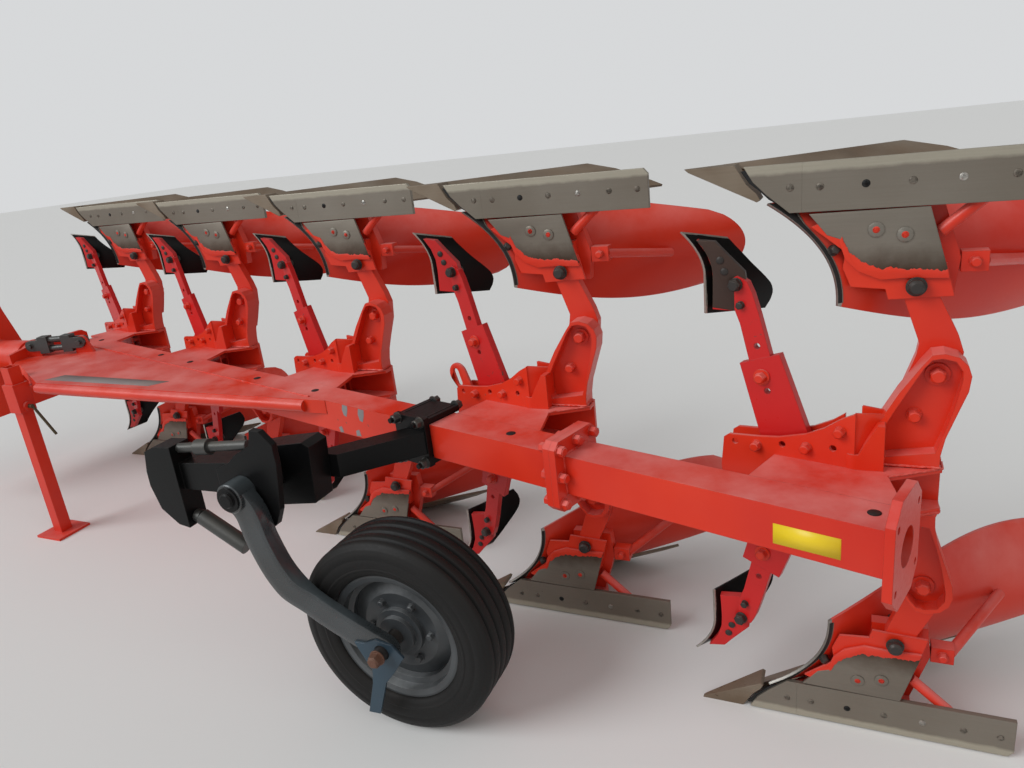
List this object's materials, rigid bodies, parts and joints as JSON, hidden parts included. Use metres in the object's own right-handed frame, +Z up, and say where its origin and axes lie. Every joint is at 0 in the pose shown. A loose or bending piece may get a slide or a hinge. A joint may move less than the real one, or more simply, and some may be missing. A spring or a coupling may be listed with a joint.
{
  "type": "mounted reversible mouldboard plough",
  "caption": "Mounted reversible mouldboard plough: mirrored bodies and skimmers along a slanting beam that turns over at its headstock, with a swing-over gauge wheel and a parking stand",
  "frame": {"origin": "middle of the top-link pin hole in the headstock", "axes": "X the way the plough is drawn, Y to its left along the top-link pin hole, Z up"},
  "size_m": [5.7716, 2.2268, 1.624],
  "materials": {
    "red_paint": "orange-red gloss paint, faded to pink where light falls flat, scuffed at edges",
    "worn_steel": "soil-scoured steel plate, grey with a brown bloom",
    "dark_steel": "oiled dark steel with rust in the corners",
    "bright_steel": "bare bright steel",
    "black_paint": "black satin paint with worn edges",
    "rim_paint": "dusty grey-blue painted disc rim",
    "tyre_rubber": "black ribbed implement tyre, dusty"
  },
  "bodies": {
    "hitch": {"headstock": "red_paint", "hitch_shaft": "dark_steel"},
    "cylinder": {"cylinder_barrel": "dark_steel", "cylinder_rod": "bright_steel"},
    "frame": {"turnover_shaft": "red_paint", "front_frame": "red_paint", "offset_screw": "dark_steel", "main_beam": "red_paint", "rear_beam": "red_paint", "stand_sleeve": "red_paint", "stand_pin": "dark_steel", "wheel_clamp": "black_paint", "wheel_arm": "black_paint", "wheel_head": "black_paint", "depth_screws": "dark_steel", "arm_1": "red_paint", "arm_2": "red_paint", "arm_3": "red_paint", "arm_4": "red_paint", "arm_5": "red_paint", "legs_1": "red_paint", "legs_2": "red_paint", "legs_3": "red_paint", "legs_4": "red_paint", "legs_5": "red_paint", "frogs_1": "red_paint", "frogs_2": "red_paint", "frogs_3": "red_paint", "frogs_4": "red_paint", "frogs_5": "red_paint", "mouldboards_1": "red_paint", "mouldboards_2": "red_paint", "mouldboards_3": "red_paint", "mouldboards_4": "red_paint", "mouldboards_5": "red_paint", "shares": "worn_steel", "landsides": "worn_steel", "stays": "red_paint", "skimmer_stems": "red_paint", "skimmer_boards": "black_paint"},
    "stand": {"stand_leg": "red_paint"},
    "wheel_carrier": {"wheel_leg": "black_paint", "wheel_axle": "dark_steel", "wheel_scraper": "bright_steel"},
    "wheel": {"wheel_rim": "rim_paint", "tyre": "tyre_rubber"}
  },
  "joints": [
    {"name": "turnover", "type": "hinge", "parent": "hitch", "child": "frame", "pos_m": [-0.41, 0, -0.385], "axis": [1, 0, 0], "range_deg": [0, 180]},
    {"name": "cylinder_swing", "type": "hinge", "parent": "hitch", "child": "cylinder", "pos_m": [-0.113, 0, -0.135], "axis": [1, 0, 0], "range_deg": [-41.66, 0]},
    {"name": "stand_slide", "type": "slide", "parent": "frame", "child": "stand", "axis": [0, 0, 1], "range_m": [0, 0.45]},
    {"name": "wheel_swing", "type": "hinge", "parent": "frame", "child": "wheel_carrier", "pos_m": [-3.338, 1.102, -0.385], "axis": [0, 1, 0], "range_deg": [0, 94.8]},
    {"name": "wheel_spin", "type": "hinge", "parent": "wheel_carrier", "child": "wheel", "pos_m": [-3.777, 1.102, -0.862], "axis": [0, 1, 0], "continuous": true}
  ],
  "couplings": [
    {"joint": "cylinder_swing", "follows": "turnover", "ratio": -0.23119}
  ]
}
